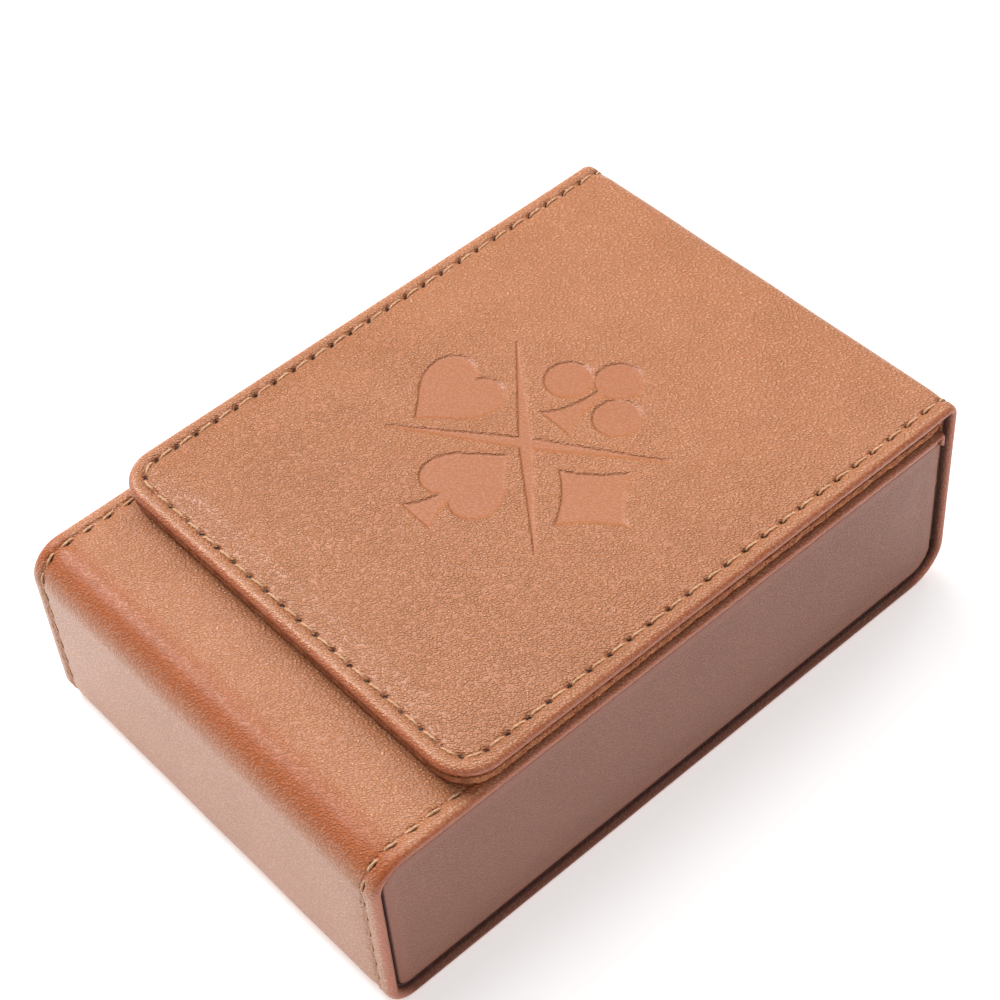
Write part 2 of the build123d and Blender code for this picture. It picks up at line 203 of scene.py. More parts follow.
# ---------------------------------------------------------------- plan of a strip
class Plan:
    """The outer face of a strip as points (x, s, inset, stitch), its faces, and the loop round its edge.

    insets are the distances of the columns from the long edges, and mid the columns between them, as
    shares of the width. away holds the loop's outward directions. A strip with a front also has a front
    edge between two round corners; without one, both ends are left open."""

    def __init__(self, rows, mid, insets, half, front=False, fan=18):
        self.rows = np.asarray(rows, float)
        self.insets = np.asarray(insets, float)
        self.reach = self.insets[-1]
        self.front = front
        self.blocks = []
        self.count = 0
        self.faces = []
        shares = np.asarray(mid, float)
        halves = np.array([half(s) if callable(half) else half for s in self.rows])
        self.add_grid(halves, shares)
        left = [r * self.cols for r in range(len(self.rows))]
        right = [first + self.cols - 1 for first in left]
        self.loop = list(left)
        self.away = [(-1.0, 0.0)] * len(left)
        if front:
            self.add_front(halves[-1] - self.reach, shares, fan)
        self.loop += right[::-1]
        self.away = np.array(self.away + [(1.0, 0.0)] * len(right))
        self.points = np.concatenate(self.blocks)

    def add(self, points):
        """Adds points and gives their numbers."""
        first = self.count
        self.blocks.append(points)
        self.count += len(points)
        return list(range(first, self.count))

    def add_grid(self, halves, shares):
        """The part of the strip between its two long edges."""
        edge = len(self.insets)
        cols = 2 * edge + len(shares)
        halves = halves[:, None]
        x = np.zeros((len(self.rows), cols))
        x[:, :edge] = -halves + self.insets
        x[:, edge:-edge] = (halves - self.reach) * shares
        x[:, -edge:] = halves - self.insets[::-1]
        inset = np.zeros_like(x)
        inset[:, :edge] = self.insets
        inset[:, edge:-edge] = self.reach + (halves - self.reach) * (1 - np.abs(shares))
        inset[:, -edge:] = self.insets[::-1]
        s = np.repeat(self.rows[:, None], cols, 1)
        stitch = (s - S_TOP) / SIDE_PITCH
        self.add(np.stack([x, s, inset, stitch], -1).reshape(-1, 4))
        for r in range(len(self.rows) - 1):
            a, b = r * cols, (r + 1) * cols
            self.faces += [(a + c, a + c + 1, b + c + 1, b + c) for c in range(cols - 1)]
        self.cols = cols

    def add_front(self, wide, shares, fan):
        """The front edge, and a fan of rings at each round corner."""
        x = np.concatenate([[-wide], shares * wide, [wide]])
        stitch = SIDE_STITCHES + (CORNER_SEAM + x + wide) / FRONT_PITCH
        last = (len(self.rows) - 1) * self.cols
        first = last + len(self.insets) - 1
        front = [list(range(first, first + len(x)))]
        for inset in self.insets[-2::-1]:
            s = np.full(len(x), self.rows[-1] + self.reach - inset)
            front.append(self.add(np.stack([x, s, np.full(len(x), inset), stitch], -1)))
        for a, b in zip(front, front[1:]):
            self.faces += [(a[c], a[c + 1], b[c + 1], b[c]) for c in range(len(x) - 1)]
        left_end = [row[0] for row in front[::-1]]
        right_end = [row[-1] for row in front[::-1]]
        left, left_away = self.add_corner(-1, last, wide, left_end, fan)
        right, right_away = self.add_corner(1, last + self.cols - 1, wide, right_end, fan)
        self.loop += left + front[-1] + right[::-1]
        self.away += left_away + [(0.0, 1.0)] * len(x) + right_away[::-1]

    def add_corner(self, side, first, wide, end, fan):
        """A round corner from its first point to the end column; gives its own part of the loop."""
        steps = len(self.insets) - 1
        radius = self.reach - self.insets[:-1]
        turns = [i / fan * math.pi / 2 for i in range(1, fan)]
        rings = [[first - side * k for k in range(steps + 1)]]
        for i, turn in enumerate(turns, 1):
            x = side * (wide + radius * math.cos(turn))
            s = self.rows[-1] + radius * math.sin(turn)
            stitch = np.full(steps, SIDE_STITCHES + CORNER_SEAM * i / fan / FRONT_PITCH)
            ring = self.add(np.stack([x, s, self.insets[:-1], stitch], -1))
            rings.append(ring + [rings[0][-1]])
        rings.append(end)
        for a, b in zip(rings, rings[1:]):
            for k in range(steps):
                face = (a[k], a[k + 1], b[k + 1], b[k])
                face = face if side < 0 else face[::-1]
                self.faces.append(tuple(dict.fromkeys(face)))
        outward = [(side * math.cos(turn), math.sin(turn)) for turn in turns]
        return [ring[0] for ring in rings[1:-1]], outward


def close_strip(plan, outer, rim):
    """Adds the edges' undersides, the inner face and the ends to a plan.

    outer holds the depths of the plan's points. rim lists (inset, depth), as numbers or functions of s."""
    count = len(plan.points)
    base = plan.points[plan.loop]
    loops = [list(plan.loop)]
    extra, depths = [], []
    for inset, depth in rim:
        ring = base.copy()
        move = inset(base[:, 1]) if callable(inset) else inset
        ring[:, 0] -= plan.away[:, 0] * move
        ring[:, 1] -= plan.away[:, 1] * move
        extra.append(ring)
        depths.append(depth(base[:, 1]) if callable(depth) else np.full(len(base), depth))
        loops.append(list(range(count, count + len(base))))
        count += len(base)
    faces = list(plan.faces)
    span = len(plan.loop)
    rows = len(plan.rows)
    for a, b in zip(loops, loops[1:]):
        if plan.front:
            faces += [(a[i], b[i], b[i + 1], a[i + 1])[::-1] for i in range(span - 1)]
        else:
            for i in list(range(rows - 1)) + list(range(rows, span - 1)):
                faces.append((a[i], b[i], b[i + 1], a[i + 1])[::-1])
    inner = loops[-1]
    for r in range(rows - 1):
        faces.append((inner[r], inner[r + 1], inner[span - 2 - r], inner[span - 1 - r]))
    if plan.front:
        faces.append(tuple(inner[rows - 1 : span - rows + 1]))
    near_end = list(range(plan.cols))
    near_end += [ring[-1] for ring in loops[1:]] + [ring[0] for ring in loops[:0:-1]]
    faces.append(tuple(near_end))
    if not plan.front:
        low = (rows - 1) * plan.cols
        far_end = list(range(low, low + plan.cols))
        far_end += [ring[rows] for ring in loops[1:]] + [ring[rows - 1] for ring in loops[:0:-1]]
        faces.append(tuple(far_end))
    flat = np.concatenate([plan.points] + extra)
    depth = np.concatenate([outer] + depths)
    return flat, depth, faces


def orient(obj):
    """Turns every face of a closed mesh outward and cuts its many-sided faces into even triangles."""
    bm = bmesh.new()
    bm.from_mesh(obj.data)
    wide = [face for face in bm.faces if len(face.verts) > 4]
    bmesh.ops.triangulate(bm, faces=wide, quad_method="BEAUTY", ngon_method="BEAUTY")
    bmesh.ops.recalc_face_normals(bm, faces=bm.faces)
    bm.to_mesh(obj.data)
    bm.free()


def mapped(path, flat, depth):
    """Strip coordinates (x, s) and depth to points in space."""
    side = path.at(flat[:, 1], depth)
    return np.column_stack([flat[:, 0], side])


# ---------------------------------------------------------------- leather's edge and seams
EDGE_ANGLES = np.radians([0, 8, 18, 30, 44, 58, 74, 90])
EDGE_REACH = 1.05
EDGE_DROP = 0.88
WALL_INSET = 1.34
HOLE = 0.40
edge_insets = EDGE_REACH * (1 - np.cos(EDGE_ANGLES))
seam_insets = [1.3, 1.5, 1.65, 1.77, 1.87, 1.96, 2.05, 2.14, 2.23, 2.32, 2.41, 2.5, 2.59, 2.68, 2.78, 2.9]
flat_insets = [3.05, 3.3, 3.7, 4.3, 5.1, 6.0]
LEATHER_INSETS = np.concatenate([edge_insets, seam_insets, flat_insets])


def edge_drop(s):
    """Half the turned edge's thickness: less at the mouth, on the floor and on the thin spine."""
    on_spine = smooth(S_LOWER + 4.0, S_SPINE, s) * smooth(S_FLAP + 5.0, S_UPPER, s)
    off_mouth = 0.5 + 0.5 * smooth(S_TOP, S_TOP + 1.5, s)
    return EDGE_DROP * off_mouth * (1 - 0.22 * on_spine - 0.2 * on_floor(s))


def on_floor(s):
    """1 where the leather lies against the floor, 0 elsewhere."""
    return smooth(S_BOTTOM - 3.0, S_BOTTOM + 1.0, s) * smooth(S_LOWER + 3.0, S_LOWER - 2.0, s)


def under_edge(wall):
    """The turned edge below its widest point, then the wall that goes down to a depth and the inner face."""
    rim = []
    for a in EDGE_ANGLES[1:]:
        rim.append((EDGE_REACH * (1 - math.cos(a)), lambda s, a=a: edge_drop(s) * (1 + math.sin(a))))
    return rim + [(1.2, wall), (WALL_INSET, wall), (WALL_INSET + 0.02, LEATHER)]


def bell(offset, width):
    return np.exp(-((offset / width) ** 2))


def seam_depth(inset, q, s):
    """How far leather lies below its flat level, by distance from its edge and stitches along the seam."""
    off = inset - STITCH_INSET
    along = (q - np.round(q)) * SIDE_PITCH
    hole = bell(along - 0.5 * off, HOLE) * bell(off, HOLE)
    groove = bell(off, 0.34)
    pull = 0.5 + 0.5 * np.cos(2 * math.pi * q)
    dip = bell(off, 1.6) * np.where(off > 0, 1, smooth(-0.75, 0.0, off))
    edge = np.clip((EDGE_REACH - inset) / EDGE_REACH, 0, 1)
    drop = edge_drop(s) * (1 - np.sqrt(1 - edge**2))
    depth = drop + 0.20 * groove + (0.12 + 0.06 * pull) * dip + 0.50 * hole
    return depth, hole


# ---------------------------------------------------------------- the suits pressed into the flap
def arc_points(centre, radius, start, end, count):
    turns = np.radians(np.linspace(start, end, count))
    return np.column_stack([centre[0] + radius * np.cos(turns), centre[1] + radius * np.sin(turns)])


def bezier(a, b, c, d, count=14):
    t = np.linspace(0, 1, count)[:, None]
    a, b, c, d = (np.array(p, float) for p in (a, b, c, d))
    return a * (1 - t) ** 3 + 3 * b * t * (1 - t) ** 2 + 3 * c * t**2 * (1 - t) + d * t**3


def both_sides(half):
    """A closed outline from its right half, listed from the top to the bottom."""
    left = half[::-1] * np.array([-1, 1])
    return np.concatenate([half, left])


heart = both_sides(
    np.concatenate(
        [
            bezier((0, 3.6), (0.9, 5.6), (3.6, 6.5), (5.4, 4.6)),
            bezier((5.4, 4.6), (7.3, 2.6), (6.6, -0.6), (4.1, -3.0)),
            bezier((4.1, -3.0), (2.6, -4.4), (0.9, -6.0), (0, -7.2)),
        ]
    )
)
blade = heart * np.array([1, -0.94])
stem = both_sides(bezier((0.6, 4.0), (0.6, -1.5), (1.8, -4.6), (3.3, -5.4)))
diamond_side = bezier((0, 6.8), (1.8, 3.8), (4.2, 1.5), (6.9, 0))
diamond = both_sides(np.concatenate([diamond_side, diamond_side[::-1] * np.array([1, -1])]))
lobe = arc_points((0, 0), 3.45, 0, 360, 48)


def cross_arm(slope):
    """One tapered arm, 2 mm wide in the middle, up (slope 1) or down (slope -1) to the right."""
    end = np.array([15.6, slope * 11.7])
    side = np.array([-end[1], end[0]]) / np.linalg.norm(end)
    tip = side * 0.16
    return np.array([end - tip, end + tip, side, -end + tip, -end - tip, -side])


MOTIF_TURN = 2.0
MOTIF_REACH = 22.0
square_suits = [
    cross_arm(1),
    cross_arm(-1),
    heart + (-14.0, -0.9),
    blade + (0, -9.8),
    stem + (0, -13.7),
    diamond + (13.6, 0),
    stem + (0, 10.6),
    lobe + (-5.0, 12.0),
    lobe + (0, 16.8),
    lobe + (5.0, 12.0),
]
turn_cos = math.cos(math.radians(MOTIF_TURN))
turn_sin = math.sin(math.radians(MOTIF_TURN))
motif_turn = np.array([[turn_cos, -turn_sin], [turn_sin, turn_cos]])
SUITS = [outline @ motif_turn for outline in square_suits]


def signed_distance(points, outlines):
    """Distance in the plane to the nearest outline, below 0 inside any of them."""
    result = np.full(len(points), np.inf)
    for outline in outlines:
        ends = np.roll(outline, -1, 0)
        near = np.full(len(points), np.inf)
        inside = np.zeros(len(points), bool)
        for a, b in zip(outline, ends):
            edge = b - a
            if not edge.any():
                continue
            t = np.clip(((points - a) @ edge) / (edge @ edge), 0, 1)
            near = np.minimum(near, np.hypot(*(points - a - t[:, None] * edge).T))
            if a[1] != b[1]:
                across = (a[1] > points[:, 1]) != (b[1] > points[:, 1])
                reach = a[0] + (points[:, 1] - a[1]) / (b[1] - a[1]) * (b[0] - a[0])
                inside ^= across & (points[:, 0] < reach)
        result = np.minimum(result, np.where(inside, -near, near))
    return result


def facing(points, distance, direction, step=0.05):
    """How far the nearest outline's outward side faces a direction, from -1 to 1."""
    slope_x = (signed_distance(points + (step, 0), SUITS) - distance) / step
    slope_y = (signed_distance(points + (0, step), SUITS) - distance) / step
    return slope_x * direction[0] + slope_y * direction[1]


# ---------------------------------------------------------------- leather strips
FLAP_PUFF = 0.22
SUIT_DEPTH = 0.20
SUIT_LIP = 0.05


def flap_y(s):
    return FLAP_FRONT_Y + strip.length - s


def leather_piece(name, rows, mid, wall, front=False):
    """A length of the leather strip, with its turned edges. wall gives the depth their undersides reach."""
    plan = Plan(rows, mid, LEATHER_INSETS, HALF_WIDTH, front)
    x, s, inset, q = plan.points.T
    depth, hole = seam_depth(inset, q, s)
    depth = depth + 0.05 * sway(x, s, 22, 3) * smooth(0.5, 4, inset)
    pressed = np.zeros(len(x))
    if front:
        on_flap = smooth(S_FLAP, S_FLAP + 14, s)
        depth = depth - FLAP_PUFF * on_flap * smooth(2.4, 13, inset)
        y = flap_y(s)
        close = (np.abs(x) < MOTIF_REACH) & (np.abs(y - MOTIF_Y) < MOTIF_REACH)
        spots = np.column_stack([x[close], y[close] - MOTIF_Y])
        gap = signed_distance(spots, SUITS)
        soft = smooth(-0.3, 0.5, facing(spots, gap, (0.98, 0.17)))
        pressed[close] = smooth(0.10 + 0.30 * soft, -0.12 - 0.25 * soft, gap)
        raised = bell(gap - 0.34, 0.24) * (1 - soft)
        depth[close] += SUIT_DEPTH * pressed[close] - SUIT_LIP * raised
    rim = under_edge(wall)
    flat, depth, faces = close_strip(plan, depth, rim)
    points = mapped(strip, flat, depth)
    spare = len(flat) - len(plan.points)
    # Painted shade: the strip is coloured darker where its edge lies under the flap's overhang and where it
    # meets the floor.
    covered = 0.5 * smooth(S_COVERED - 3.5, S_COVERED - 7.5, s)
    covered = covered + 0.7 * on_floor(s)
    covered = covered * smooth(0.1, 0.4, inset) * smooth(2.2, 1.4, inset)
    # Painted shade on the undersides of the turned edges, stronger along the floor.
    curl = np.repeat(smooth(1, len(EDGE_ANGLES) - 2, np.arange(len(rim))), len(plan.loop))
    curl = np.maximum(curl, np.tile(0.7 * on_floor(plan.points[plan.loop][:, 1]), len(rim)))
    obj = new_object(
        name,
        points,
        faces,
        [
            ("rest", "FLOAT_VECTOR", np.column_stack([flat[:, 0], flat[:, 1], depth])),
            ("hole", "FLOAT", np.concatenate([hole, np.zeros(spare)])),
            ("pressed", "FLOAT", np.concatenate([pressed, np.zeros(spare)])),
            ("edge", "FLOAT", np.concatenate([smooth(2.2, 0.0, inset), np.ones(spare)])),
            ("painted_shade", "FLOAT", np.concatenate([covered, curl])),
        ],
    )
    orient(obj)
    return obj


# Rows and columns are close together at the seams, the folds and the motif.
STEP = SIDE_PITCH / 14
FINE = 0.17
MIDDLE = HALF_WIDTH - LEATHER_INSETS[-1]
MOTIF_HALF = 21.2
plain_mid = spaced([(-MIDDLE, 1.5), (MIDDLE, 0)])[1:-1] / MIDDLE
motif_mid = spaced([(-MIDDLE, 0.75), (-MOTIF_HALF, FINE), (MOTIF_HALF, 0.75), (MIDDLE, 0)])[1:-1] / MIDDLE
motif_rear, motif_front = (strip.length - (MOTIF_Y + y - FLAP_FRONT_Y) for y in (MOTIF_HALF, -20.0))
body_rows = spaced([(0.0, 0.3), (MOUTH_HEM, 0.16), (S_TOP, STEP), (S_BOTTOM_SPLIT, 0)])
spine_rows = spaced([(S_BOTTOM_SPLIT, STEP), (S_SPINE_SPLIT, 0)])
flap_rows = [(S_SPINE_SPLIT, STEP), (S_UPPER, 0.18), (S_FLAP, STEP), (motif_rear, FINE), (motif_front, STEP)]
flap_rows = spaced(flap_rows + [(S_CORNER, 0)])


def body_wall(s):
    return LEATHER + 0.01 + (2.02 - LEATHER) * smooth(S_TOP, S_TOP + 1.5, s)


def spine_wall(s):
    return 2.03 - 0.6 * smooth(S_LOWER, S_SPINE, s)


def flap_wall(s):
    return 1.43 + 0.57 * smooth(S_UPPER, S_FLAP + 5.0, s)


body_leather = leather_piece("body_leather", body_rows, plain_mid, body_wall)
spine_leather = leather_piece("spine_leather", spine_rows, plain_mid, spine_wall)
flap_leather = leather_piece("flap_leather", flap_rows, motif_mid, flap_wall, front=True)


# ---------------------------------------------------------------- thread
def tube_faces(base, rings, around):
    """Faces of a closed tube whose rings of points follow each other from the number base."""
    faces = []
    for i in range(rings - 1):
        a = base + i * around
        b = a + around
        for j in range(around):
            k = (j + 1) % around
            faces.append((a + j, a + k, b + k, b + j))
    last = base + (rings - 1) * around
    faces.append(tuple(range(base, base + around))[::-1])
    faces.append(tuple(range(last, last + around)))
    return faces


def seam_spot(q, side):
    """Plan point (x, s) of a seam at q stitches from the mouth; past the side it rounds the flap's front."""
    radius = FLAP_CORNER - STITCH_INSET
    turn_x = HALF_WIDTH - FLAP_CORNER
    beyond = (q - SIDE_STITCHES) * FRONT_PITCH
    if beyond > FRONT_SEAM / 2:
        beyond = FRONT_SEAM - beyond
        side = -side
    if beyond <= 0:
        return np.array([side * (turn_x + radius), S_CORNER + beyond])
    if beyond <= CORNER_SEAM:
        turn = beyond / radius
        return np.array([side * (turn_x + radius * math.cos(turn)), S_CORNER + radius * math.sin(turn)])
    return np.array([side * (turn_x - (beyond - CORNER_SEAM)), S_CORNER + radius])


THREAD_RADIUS = 0.185
THREAD_START = 0.14
THREAD_DEPTH = 0.20


def thread_piece(name, stitches):
    """Twisted three-ply stitches. stitches lists (hole that the stitch starts from, side)."""
    around, along = 12, 14
    points, faces = [], []
    rng = np.random.default_rng(11)
    for first, side in stitches:
        u = np.linspace(0, 1, along)
        q = first + THREAD_START + (1 - 2 * THREAD_START) * u
        skew = 0.10 + 0.03 * rng.standard_normal()
        rise = 0.02 * rng.standard_normal()
        spots = np.array([seam_spot(v, side) for v in q])
        ahead = np.gradient(spots, axis=0)
        ahead /= np.linalg.norm(ahead, axis=1)[:, None]
        across = np.column_stack([-ahead[:, 1], ahead[:, 0]]) * side
        spots += across * (skew * (2 * u - 1))[:, None]
        depth = THREAD_DEPTH + rise + 0.45 * np.abs(2 * u - 1) ** 5
        twist = rng.uniform(0, 6.3)
        for i in range(along):
            for j in range(around):
                a = 2 * math.pi * j / around
                r = THREAD_RADIUS * (1 + 0.2 * math.cos(3 * (a + twist) + 17 * u[i]))
                r *= 0.8 + 0.2 * math.sin(math.pi * u[i])
                flat = spots[i] + across[i] * r * math.cos(a)
                side_view = strip.at(flat[1], depth[i] - 0.85 * r * math.sin(a))
                points.append((flat[0], side_view[..., 0], side_view[..., 1]))
        base = len(points) - along * around
        faces += tube_faces(base, along, around)
    obj = new_object(name, np.array(points, float), faces)
    orient(obj)
    return obj


Q_BOTTOM = math.ceil((S_BOTTOM_SPLIT - S_TOP) / SIDE_PITCH)
Q_SPINE = math.ceil((S_SPINE_SPLIT - S_TOP) / SIDE_PITCH)
left_thread = thread_piece("left_body_thread", [(q, -1) for q in range(Q_BOTTOM)])
right_thread = thread_piece("right_body_thread", [(q, 1) for q in range(Q_BOTTOM)])
spine_thread = thread_piece("spine_thread", [(q, side) for side in (-1, 1) for q in range(Q_BOTTOM, Q_SPINE)])
flap_thread = thread_piece(
    "flap_thread",
    [(q, side) for side in (-1, 1) for q in range(Q_SPINE, SIDE_STITCHES)]
    + [(SIDE_STITCHES + q, -1) for q in range(FRONT_STITCHES)],
)


# ---------------------------------------------------------------- side panels
def rounded_ring(low, high, radii, inset, step):
    """A ring inset from a rectangle with four corner radii, in order from the lower front corner."""
    corners = [(low[0], low[1], 180), (high[0], low[1], 270), (high[0], high[1], 0), (low[0], high[1], 90)]
    spots = []
    for (y, z, start), radius in zip(corners, radii):
        r = max(radius - inset, 0.04)
        cy = y + (inset + r) * (1 if y == low[0] else -1)
        cz = z + (inset + r) * (1 if z == low[1] else -1)
        spots.append(arc_points((cy, cz), r, start, start + 90, 12))
    ring = []
    for i, arc in enumerate(spots):
        following = spots[(i + 1) % 4]
        ring += list(arc)
        count = round((high[0] - low[0] if i % 2 == 0 else high[1] - low[1]) / step)
        t = np.linspace(0, 1, count + 1)[1:-1, None]
        ring += list(arc[-1] * (1 - t) + following[0] * t)
    return np.array(ring)


def side_panel(name, side):
    """A leather-covered panel set in between the strip's edges, with a turned rim and a slight crown."""
    gap = 2.06
    low, high = (gap - REAR_Y, gap), (REAR_Y - gap, BODY_HEIGHT - gap)
    radii = (FOOT_BEND - gap, LOWER_FOLD - gap, 0.6, TOP_BEND - gap)
    turned = 0.8
    profile = [(0.02, PANEL_X - 1.9), (0.0, PANEL_X - 1.7)]
    for a in np.radians(np.linspace(0, 90, 13)):
        profile.append((turned * (1 - math.cos(a)), PANEL_X - turned * (1 - math.sin(a))))
    profile += [(d, PANEL_X) for d in (1.2, 1.6, 2.1, 2.8, 3.6, 4.6, 5.8, 7.2, 8.8, 10.4, 12.0)]
    points, insets = [], []
    for inset, x in profile:
        ring = rounded_ring(low, high, radii, inset, 0.9)
        crown = 0.30 * smooth(turned, 11, inset)
        crown = crown + 0.05 * sway(ring[:, 0], ring[:, 1], 26, 8 + side) * smooth(0.6, 4, inset)
        points.append(np.column_stack([x + crown, ring]))
        insets.append(np.full(len(ring), inset))
    faces = tube_faces(0, len(profile), len(points[0]))
    points = np.concatenate(points)
    rest = np.column_stack([points[:, 1], points[:, 2], points[:, 0]])
    points[:, 0] *= side
    insets = np.concatenate(insets)
    obj = new_object(
        name,
        points,
        faces,
        [
            ("rest", "FLOAT_VECTOR", rest + (0, 0, 40 * side)),
            ("hole", "FLOAT", np.zeros(len(points))),
            ("pressed", "FLOAT", np.zeros(len(points))),
            # edge also colours the rim orange-brown: partly the burnished rim colour, partly painted shade
            # along the rim beside the gap.
            ("edge", "FLOAT", smooth(3.0, 1.1, insets)),
            # Painted shade: the rim's outermost ring, down in the gap beside the strip, is darkened.
            ("painted_shade", "FLOAT", smooth(0.34, 0.16, insets)),
        ],
    )
    orient(obj)
    return obj


left_panel = side_panel("left_side_leather", -1)
right_panel = side_panel("right_side_leather", 1)


# ---------------------------------------------------------------- suede and lining
LINING_INSETS = np.array([0.0, 0.06, 0.18, 0.4, 0.9, 1.6, 2.8, 4.2, 5.7])
LINING = 0.4
WELL_DEPTH = 2.0
WELL_HALF = 32.75
SPINE_HALF = 34.6
LID_BULGE = 1.1


def level(s):
    return 0.0 * s


def lining_piece(name, path, rows, half, outer, thick, front=False, raised=level, rough=0.0):
    """A soft layer between depths outer(s) and outer(s) + thick(s).

    raised lifts its edges and rough frays them."""
    plan = Plan(rows, np.linspace(-1, 1, 23)[1:-1], LINING_INSETS, half, front, fan=14)
    x, s, inset, _ = plan.points.T
    rounded = 0.25 * thick(s) * (1 - np.sqrt(1 - smooth(0.2, 0.0, inset) ** 2))
    depth = outer(s) + rounded - raised(s) * smooth(1.9, 0.5, inset)
    rim = [
        (0.0, lambda s: outer(s) + 0.30 * thick(s) - raised(s) * 0.8),
        (-0.02, lambda s: outer(s) + 0.5 * thick(s) - raised(s) * 0.5),
        (0.0, lambda s: outer(s) + 0.75 * thick(s)),
        (0.05, lambda s: outer(s) + 0.92 * thick(s)),
        (0.2, lambda s: outer(s) + thick(s)),
    ]
    flat, depth, faces = close_strip(plan, depth, rim)
    near = np.concatenate([smooth(1.0, 0.1, inset), np.ones(len(flat) - len(plan.points))])
    run = flat[:, 1] + flat[:, 0]
    fuzz = sway(run, 2 * depth, 0.8, 5)
    fuzz = fuzz + 0.8 * sway(run, 2 * depth, 3.1, 6) + 0.7 * sway(run, 3 * depth, 1.7, 8)
    flat[:, 0] += np.sign(flat[:, 0]) * rough * near * fuzz
    depth = depth + 0.7 * rough * near * sway(run, depth, 1.4, 7)
    obj = new_object(
        name,
        mapped(path, flat, depth),
        faces,
        [
            ("rest", "FLOAT_VECTOR", np.column_stack([flat[:, 0], flat[:, 1], depth])),
            ("edge", "FLOAT", near),
        ],
    )
    orient(obj)
    return obj


# The flap's suede starts half way up the spine, turns with the upper fold and ends at the flap's front.
LID_Y = REAR_Y - 1.5
LID_TURN_Z = 31.0
LID_BEND = 0.9
LID_FRONT = 0.3
LID_MOVES = [
    ("run", LID_TURN_Z - SPINE_SPLIT_Z),
    ("turn", LID_BEND),
    ("run", LID_Y - LID_BEND - FLAP_FRONT_Y - LID_FRONT),
]
lid_path = Path((LID_Y, SPINE_SPLIT_Z), 90, LID_MOVES)
LID_TURN = lid_path.pieces[1][1]
LID_FLAT = lid_path.pieces[2][1]
LID_END = lid_path.length - LINING_INSETS[-1]
lid_rows = spaced([(0.0, 0.8), (LID_TURN - 2.0, 0.12), (LID_FLAT + 1.0, 0.22), (LID_END, 0)])


def on_lid(s):
    return smooth(LID_TURN - 1.0, LID_FLAT + 3.0, s)


def lid_half(s):
    return SPINE_HALF + LID_BULGE * on_lid(s)


def lid_thickness(s):
    return LINING + 0.5 * on_lid(s)


def spine_half(s):
    return WELL_HALF + (SPINE_HALF - WELL_HALF) * smooth(S_LOWER + 4.0, S_SPINE + 1.0, s)


flap_suede = lining_piece(
    "flap_suede",
    lid_path,
    lid_rows,
    lid_half,
    level,
    lid_thickness,
    front=True,
    raised=lambda s: 0.24 * on_lid(s),
    rough=0.11,
)
spine_lining = lining_piece(
    "spine_lining_suede",
    strip,
    spaced([(S_LINING_SPLIT, 0.35), (S_SPINE_SPLIT, 0)]),
    spine_half,
    lambda s: WELL_DEPTH - 0.5 * smooth(S_LOWER, S_SPINE, s),
    lambda s: level(s) + LINING,
)
well_lining = lining_piece(
    "well_lining_suede",
    strip,
    spaced([(S_TOP, 1.0), (S_LINING_SPLIT, 0)]),
    WELL_HALF,
    lambda s: level(s) + WELL_DEPTH,
    lambda s: level(s) + LINING,
)


# ---------------------------------------------------------------- materials
GRAIN_TURN = 48.0


class Nodes:
    """A small builder for one material's nodes."""

    def __init__(self, name):
        self.material = bpy.data.materials.new(name)
        self.material.use_nodes = True
        self.tree = self.material.node_tree
        self.shader = self.tree.nodes["Principled BSDF"]

    def add(self, kind, inputs=None, **settings):
        node = self.tree.nodes.new(kind)
        for key, value in settings.items():
            setattr(node, key, value)
        for key, value in (inputs or {}).items():
            self.put(node.inputs[key], value)
        return node

    def put(self, socket, value):
        if isinstance(value, bpy.types.NodeSocket):
            self.tree.links.new(value, socket)
        else:
            socket.default_value = value

    def math(self, operation, a, b=0.0):
        return self.add("ShaderNodeMath", {0: a, 1: b}, operation=operation).outputs[0]

    def attribute(self, name, output="Fac"):
        return self.add("ShaderNodeAttribute", attribute_name=name).outputs[output]

    def mix(self, share, a, b):
        node = self.add("ShaderNodeMix", {0: share, 6: a, 7: b}, data_type="RGBA")
        return node.outputs[2]

    def ramp(self, value, low, high, out_low=0.0, out_high=1.0):
        node = self.add("ShaderNodeMapRange", {0: value, 1: low, 2: high, 3: out_low, 4: out_high})
        return node.outputs[0]

    def noise(self, vector, scale, detail=2.0, rough=0.5):
        inputs = {"Vector": vector, "Scale": scale, "Detail": detail, "Roughness": rough}
        return self.add("ShaderNodeTexNoise", inputs)

    def cells(self, vector, scale, softness):
        inputs = {"Vector": vector, "Scale": scale, "Smoothness": softness}
        return self.add("ShaderNodeTexVoronoi", inputs, feature="SMOOTH_F1").outputs["Distance"]

    def stretched(self, vector, scale, degrees=0.0):
        """The vector turned about its third axis, then scaled."""
        if degrees:
            turn = {"Vector": vector, "Angle": math.radians(degrees)}
            vector = self.add("ShaderNodeVectorRotate", turn).outputs[0]
        return self.add("ShaderNodeMapping", {"Vector": vector, "Scale": scale}).outputs[0]

    def surface(self, color, roughness, height, distance, **fixed):
        bump = self.add("ShaderNodeBump", {"Strength": 1.0, "Distance": distance, "Height": height})
        self.put(self.shader.inputs["Base Color"], color)
        self.put(self.shader.inputs["Roughness"], roughness)
        self.put(self.shader.inputs["Normal"], bump.outputs[0])
        for key, value in fixed.items():
            self.shader.inputs[key.replace("_", " ")].default_value = value
        return self.material


def rgb(r, g, b):
    """An sRGB colour, 0 to 255, as linear RGBA."""
    shares = (r / 255, g / 255, b / 255)
    linear = [v / 12.92 if v <= 0.04045 else ((v + 0.055) / 1.055) ** 2.4 for v in shares]
    return (*linear, 1.0)


